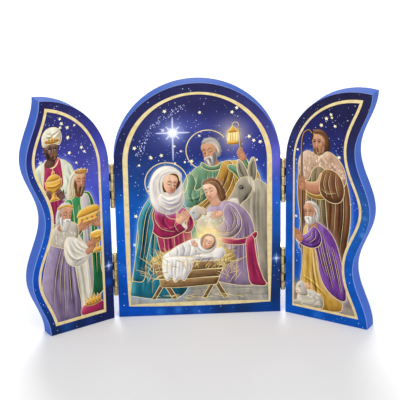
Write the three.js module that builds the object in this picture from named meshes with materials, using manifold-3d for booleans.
// A small folding triptych: a round-headed centre board and two wings on brass butt hinges.
// Millimetres, +Z up. The origin is the middle of the centre board's underside, and the
// printed pictures face -Y. Each wing is drawn flat open and then swung forward about its pins.
import * as THREE from "three";
import { mergeVertices } from "three/addons/utils/BufferGeometryUtils.js";
import Module from "manifold-3d";

// Boards: a square foot and a half-round head, sawn from 8 mm board.
const halfWidth = 45;
const springHeight = 92;
const boardHeight = springHeight + halfWidth;
const boardThickness = 8;

// The wings together cover the centre board and meet along a wave of two whole periods.
const waveDepth = 4.7;
const waveCount = 2;
const waveShift = -0.3;
const sawCut = 0.6;

// Printed sheets glued to the front faces, trimmed a hair inside the boards' edges.
const sheetThickness = 0.4;
const sheetTrim = 0.2;
const glueLine = 0.05;

// How far each wing stands forward of flat open.
const leftForward = 29.3;
const rightForward = 30.9;

// Hinges: one inch long, five knuckles, two round-headed nails in each leaf.
const hingeLength = 25.4;
const hingeHeights = { lower: 26.8, upper: 79.6 };
const barrelRadius = 1.1;
const boreRadius = 0.55;
const pinRadius = 0.45;
const leafThickness = 0.5;
const leafReach = 7.4;
const leafCorner = 0.8;
const knuckleCount = 5;
const knuckleGap = 0.25;
const knuckleClearance = 0.4;
const leafSeat = 0.1;
const foldGap = 0.8;

// Nails, and the pilot holes that they sit in.
const nailRadius = 0.45;
const nailLength = 5.5;
const nailPoint = 1.2;
const nailHeadRadius = 1;
const nailHeadHeight = 0.35;
const nailSpacing = 15;
const nailBehindPin = 4.5;
const nailSeat = 0.05;
const pilotRadius = 0.6;
const pilotLength = 6.3;

// Facets on the round and waved stretches.
const archSteps = 30;
const waveSteps = 52;
const barrelSides = 20;
const nailSides = 12;
const weldDistance = 1e-4;

// Worked out from the sizes above.
const boardFront = -boardThickness / 2;
const sheetFront = boardFront - glueLine - sheetThickness;
const pinY = sheetFront - foldGap / 2;
const pinOffset = barrelRadius + leafSeat;
const pinX = halfWidth + pinOffset;

const paintedBoard = new THREE.MeshStandardMaterial({ color: 0x5c80d6, roughness: 0.6 });
const printedSheet = new THREE.MeshStandardMaterial({ color: 0x1d2f86, roughness: 0.35 });
const brass = new THREE.MeshStandardMaterial({ color: 0xc8a860, roughness: 0.35, metalness: 1 });

const wasm = await Module();
wasm.setup();

function solidOf(geometry) {
  const loose = geometry.index ? geometry.toNonIndexed() : geometry.clone();
  const bare = new THREE.BufferGeometry().setAttribute("position", loose.getAttribute("position"));
  const merged = mergeVertices(bare, weldDistance);
  return new wasm.Manifold(
    new wasm.Mesh({
      numProp: 3,
      vertProperties: merged.attributes.position.array,
      triVerts: new Uint32Array(merged.index.array),
    }),
  );
}

function geometryOf(solid) {
  const mesh = solid.getMesh();
  const geometry = new THREE.BufferGeometry();
  geometry.setAttribute("position", new THREE.BufferAttribute(mesh.vertProperties, 3));
  geometry.setIndex(new THREE.BufferAttribute(mesh.triVerts, 1));
  geometry.computeVertexNormals();
  return geometry;
}

function meshOf(name, geometry, material) {
  const mesh = new THREE.Mesh(geometry, material);
  mesh.name = name;
  return mesh;
}

// Stands a flat outline in x and z upright, from frontY back through its thickness.
function uprightPlate(outline, frontY, thickness) {
  const plate = new THREE.ExtrudeGeometry(new THREE.Shape(outline), {
    depth: thickness,
    bevelEnabled: false,
  });
  return plate.rotateX(Math.PI / 2).translate(0, frontY + thickness, 0);
}

// Centre outline: the foot's two corners, then the half-round head from right to left.
function centreOutline(trim) {
  const radius = halfWidth - trim;
  const outline = [new THREE.Vector2(-radius, trim), new THREE.Vector2(radius, trim)];
  for (let i = 0; i <= 2 * archSteps; i += 1) {
    const turn = (Math.PI * i) / (2 * archSteps);
    outline.push(new THREE.Vector2(radius * Math.cos(turn), springHeight + radius * Math.sin(turn)));
  }
  return outline;
}

// Where the closed wings meet, measured across the centre board.
function meetingLine(z) {
  return waveShift - waveDepth * Math.cos((2 * Math.PI * waveCount * z) / boardHeight);
}

// Width of a wing at height z, from its hinged edge to its waved edge. Side is -1 left, 1 right.
function wingWidth(side, z) {
  return halfWidth - side * meetingLine(z) - sawCut / 2;
}

// Wing outline drawn outwards from the pin: foot, hinged edge, arch up to the tip, wave down.
function wingOutline(side, trim) {
  const radius = halfWidth - trim;
  let tipWidth = halfWidth;
  let tipHeight = boardHeight;
  for (let round = 0; round < 8; round += 1) {
    tipWidth = wingWidth(side, tipHeight) - trim;
    tipHeight = springHeight + Math.sqrt(radius ** 2 - (halfWidth - tipWidth) ** 2);
  }
  const place = (width, z) => new THREE.Vector2(side * (pinOffset + width), z);
  const outline = [place(trim, trim)];
  const tipTurn = Math.acos((halfWidth - tipWidth) / radius);
  for (let i = 0; i <= archSteps; i += 1) {
    const turn = (tipTurn * i) / archSteps;
    outline.push(place(halfWidth - radius * Math.cos(turn), springHeight + radius * Math.sin(turn)));
  }
  for (let i = 1; i <= waveSteps; i += 1) {
    const z = tipHeight + ((trim - tipHeight) * i) / waveSteps;
    outline.push(place(wingWidth(side, z) - trim, z));
  }
  return outline;
}

// Leaf and nail places along a hinge, as offsets from its middle.
const nailOffsets = [-nailSpacing / 2, nailSpacing / 2];
const knuckleLength = (hingeLength - knuckleGap * (knuckleCount - 1)) / knuckleCount;
const knucklePitch = knuckleLength + knuckleGap;

function cylinderAlongX(radius, fromX, toX, sides) {
  const rod = new THREE.CylinderGeometry(radius, radius, Math.abs(toX - fromX), sides);
  return rod.rotateZ(Math.PI / 2).translate((fromX + toX) / 2, 0, 0);
}

// A board with a pilot hole wherever a hinge nail enters it. facing is the way each hole opens.
function drilledBoard(outline, edges) {
  let solid = solidOf(uprightPlate(outline, boardFront, boardThickness));
  for (const edge of edges) {
    for (const height of Object.values(hingeHeights)) {
      for (const offset of nailOffsets) {
        const mouth = edge.x + edge.facing;
        const hole = cylinderAlongX(pilotRadius, mouth, edge.x - edge.facing * pilotLength, nailSides);
        hole.translate(0, edge.pinLine + nailBehindPin, height + offset);
        solid = solid.subtract(solidOf(hole));
      }
    }
  }
  return geometryOf(solid);
}

// One leaf about its pin, with its plate on the +X side: even knuckles or odd ones.
function leafGeometry(first) {
  const half = hingeLength / 2;
  const outer = barrelRadius;
  const rootY = barrelRadius + knuckleClearance;
  const plateShape = new THREE.Shape();
  plateShape.moveTo(rootY, -half);
  plateShape.lineTo(leafReach - leafCorner, -half);
  plateShape.absarc(leafReach - leafCorner, -half + leafCorner, leafCorner, -Math.PI / 2, 0, false);
  plateShape.absarc(leafReach - leafCorner, half - leafCorner, leafCorner, 0, Math.PI / 2, false);
  plateShape.lineTo(rootY, half);
  plateShape.closePath();
  const plate = new THREE.ExtrudeGeometry(plateShape, {
    depth: leafThickness,
    bevelEnabled: false,
    curveSegments: 4,
  });
  // Shape x becomes +Y, shape y becomes +Z and the extrusion becomes +X.
  const turnUpright = new THREE.Matrix4().makeBasis(
    new THREE.Vector3(0, 1, 0),
    new THREE.Vector3(0, 0, 1),
    new THREE.Vector3(1, 0, 0),
  );
  plate.applyMatrix4(turnUpright).translate(outer - leafThickness, 0, 0);
  let solid = solidOf(plate);
  for (let i = first; i < knuckleCount; i += 2) {
    const middle = -half + knuckleLength / 2 + i * knucklePitch;
    const tube = new THREE.CylinderGeometry(outer, outer, knuckleLength, barrelSides);
    const tab = new THREE.BoxGeometry(leafThickness, rootY + leafThickness, knuckleLength);
    tube.rotateX(Math.PI / 2).translate(0, 0, middle);
    tab.translate(outer - leafThickness / 2, (rootY + leafThickness) / 2, middle);
    solid = solid.add(solidOf(tube)).add(solidOf(tab));
  }
  const bore = new THREE.CylinderGeometry(boreRadius, boreRadius, hingeLength * 2, barrelSides);
  solid = solid.subtract(solidOf(bore.rotateX(Math.PI / 2)));
  for (const offset of nailOffsets) {
    const hole = cylinderAlongX(pilotRadius, 0, 2 * outer, nailSides);
    solid = solid.subtract(solidOf(hole.translate(0, nailBehindPin, offset)));
  }
  return geometryOf(solid);
}

// A nail driven along +X, its head's underside a little proud of the leaf.
function nailGeometry() {
  const profile = [
    new THREE.Vector2(0, -nailLength),
    new THREE.Vector2(nailRadius, -nailLength + nailPoint),
    new THREE.Vector2(nailRadius, 0),
    new THREE.Vector2(nailHeadRadius, 0),
  ];
  const domeSteps = 3;
  for (let i = 1; i <= domeSteps; i += 1) {
    const turn = (Math.PI * i) / (2 * domeSteps);
    const radius = i === domeSteps ? 0 : nailHeadRadius * Math.cos(turn);
    profile.push(new THREE.Vector2(radius, nailHeadHeight * Math.sin(turn)));
  }
  return new THREE.LatheGeometry(profile, nailSides).rotateZ(Math.PI / 2);
}

function pinGeometry() {
  return new THREE.CylinderGeometry(pinRadius, pinRadius, hingeLength, barrelSides).rotateX(Math.PI / 2);
}

// A leaf and its nails at one height. turnedRound puts the plate on the -X side of the pin.
function addLeaf(group, name, height, first, turnedRound) {
  const leaf = new THREE.Group();
  leaf.add(meshOf(`${name}_leaf`, leafGeometry(first), brass));
  nailOffsets.forEach((offset, i) => {
    const nail = meshOf(`${name}_nail_${i + 1}`, nailGeometry(), brass);
    nail.position.set(barrelRadius - leafThickness - nailSeat, nailBehindPin, offset);
    leaf.add(nail);
  });
  if (turnedRound) {
    // Mirroring in X keeps the plate behind the pin and moves it to the other side.
    leaf.scale.x = -1;
  }
  leaf.position.z = height;
  group.add(leaf);
}

function addCentre(triptych) {
  const outline = centreOutline(0);
  const edges = [-1, 1].map((side) => ({ x: side * halfWidth, facing: side, pinLine: pinY }));
  triptych.add(meshOf("centre_board", drilledBoard(outline, edges), paintedBoard));
  const sheet = uprightPlate(centreOutline(sheetTrim), sheetFront, sheetThickness);
  triptych.add(meshOf("centre_print", sheet, printedSheet));
  for (const [sideName, side] of [["left", -1], ["right", 1]]) {
    const stile = new THREE.Group();
    stile.position.set(side * pinX, pinY, 0);
    for (const [place, height] of Object.entries(hingeHeights)) {
      const name = `${sideName}_${place}_hinge`;
      addLeaf(stile, `${name}_centre`, height, 0, side > 0);
      const pin = meshOf(`${name}_pin`, pinGeometry(), brass);
      pin.position.z = height;
      stile.add(pin);
    }
    triptych.add(stile);
  }
}

function addWing(triptych, sideName, side, forward) {
  const wing = new THREE.Group();
  wing.position.set(side * pinX, pinY, 0);
  wing.rotation.z = THREE.MathUtils.degToRad(-side * forward);
  // Inside the group the pin is the origin, so the faces stand behind it by these distances.
  const edges = [{ x: side * pinOffset, facing: -side, pinLine: pinY }];
  const board = drilledBoard(wingOutline(side, 0), edges).translate(0, -pinY, 0);
  wing.add(meshOf(`${sideName}_board`, board, paintedBoard));
  const sheet = uprightPlate(wingOutline(side, sheetTrim), sheetFront - pinY, sheetThickness);
  wing.add(meshOf(`${sideName}_print`, sheet, printedSheet));
  for (const [place, height] of Object.entries(hingeHeights)) {
    addLeaf(wing, `${sideName}_${place}_hinge_wing`, height, 1, side < 0);
  }
  triptych.add(wing);
}

const triptych = new THREE.Group();
addCentre(triptych);
addWing(triptych, "left", -1, leftForward);
addWing(triptych, "right", 1, rightForward);

export default triptych;
